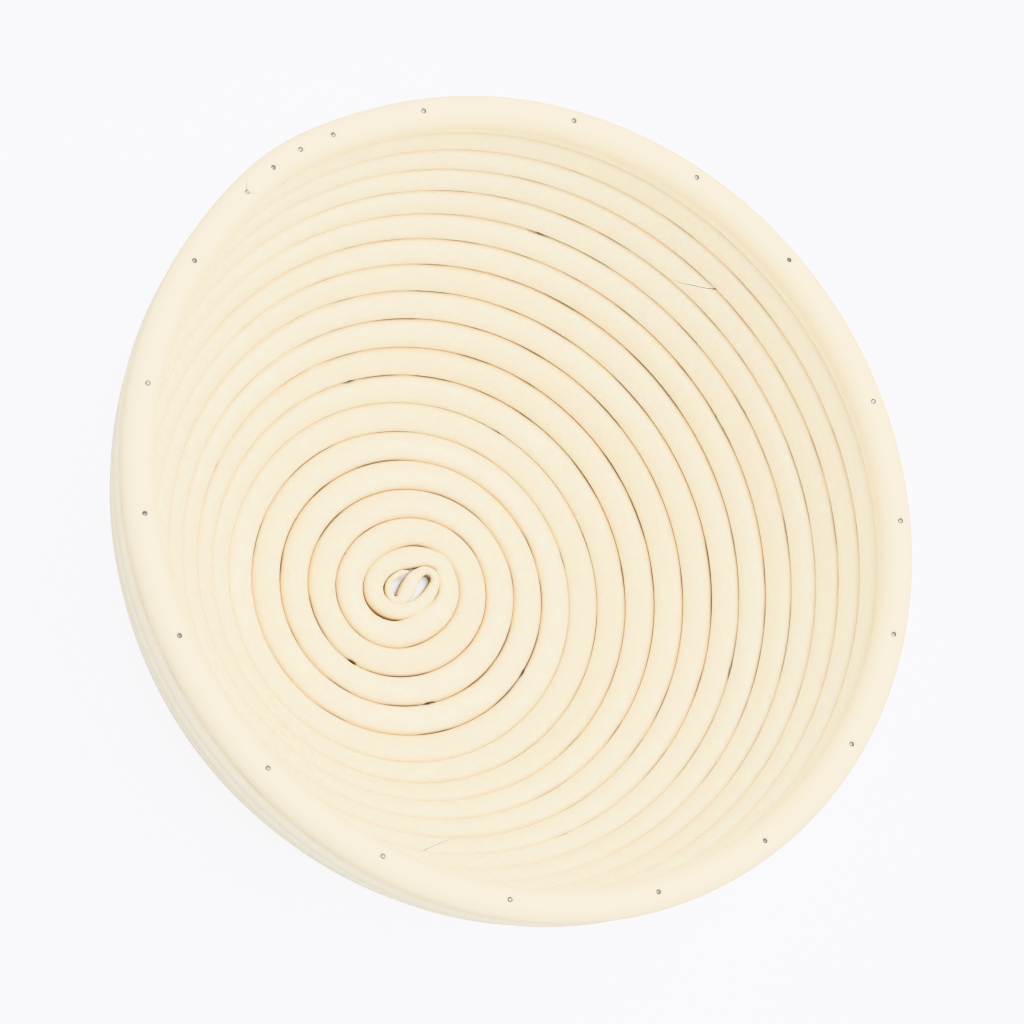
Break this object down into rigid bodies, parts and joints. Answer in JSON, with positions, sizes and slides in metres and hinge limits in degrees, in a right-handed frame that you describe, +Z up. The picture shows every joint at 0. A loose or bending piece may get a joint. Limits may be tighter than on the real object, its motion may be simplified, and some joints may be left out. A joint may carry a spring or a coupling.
{
  "type": "proofing basket",
  "caption": "Round coiled rattan proofing basket with a flat base, flaring wall and a nailed rim hoop.",
  "frame": {"origin": "on the table under the middle of the basket", "axes": "+Z up out of the bowl; -Y is the side nearest the viewer when the bowl is seen from the front and above"},
  "size_m": [0.2241, 0.2189, 0.0973],
  "materials": {
    "cane": "smooth bare rattan cane, satin, warm orange-brown in the seams",
    "rim_cane": "smooth bare rattan cane, paler and slightly glossier on the rim",
    "brad_steel": "dull bright wire brad heads",
    "pin_steel": "dull wire, hidden inside the cane"
  },
  "bodies": {
    "root": {"base_cane": "cane", "lower_wall_cane": "cane", "upper_wall_cane": "cane", "rim_hoop": "rim_cane", "rim_brad_01": "brad_steel", "rim_brad_02": "brad_steel", "rim_brad_03": "brad_steel", "rim_brad_04": "brad_steel", "rim_brad_05": "brad_steel", "rim_brad_06": "brad_steel", "rim_brad_07": "brad_steel", "rim_brad_08": "brad_steel", "rim_brad_09": "brad_steel", "rim_brad_10": "brad_steel", "rim_brad_11": "brad_steel", "rim_brad_12": "brad_steel", "rim_brad_13": "brad_steel", "rim_brad_14": "brad_steel", "rim_brad_15": "brad_steel", "rim_brad_16": "brad_steel", "rim_brad_17": "brad_steel", "rim_brad_18": "brad_steel", "rim_brad_19": "brad_steel", "rim_brad_20": "brad_steel", "rim_brad_21": "brad_steel", "coil_pin_01": "pin_steel", "coil_pin_02": "pin_steel", "coil_pin_03": "pin_steel", "coil_pin_04": "pin_steel", "coil_pin_05": "pin_steel", "coil_pin_06": "pin_steel", "coil_pin_07": "pin_steel", "coil_pin_08": "pin_steel", "coil_pin_09": "pin_steel", "coil_pin_10": "pin_steel", "coil_pin_11": "pin_steel", "coil_pin_12": "pin_steel", "coil_pin_13": "pin_steel", "coil_pin_14": "pin_steel", "coil_pin_15": "pin_steel", "coil_pin_16": "pin_steel", "coil_pin_17": "pin_steel", "coil_pin_18": "pin_steel", "coil_pin_19": "pin_steel", "coil_pin_20": "pin_steel", "coil_pin_21": "pin_steel", "coil_pin_22": "pin_steel", "coil_pin_23": "pin_steel", "coil_pin_24": "pin_steel", "coil_pin_25": "pin_steel", "coil_pin_26": "pin_steel", "coil_pin_27": "pin_steel", "coil_pin_28": "pin_steel", "coil_pin_29": "pin_steel", "coil_pin_30": "pin_steel", "coil_pin_31": "pin_steel", "coil_pin_32": "pin_steel"}
  },
  "joints": []
}
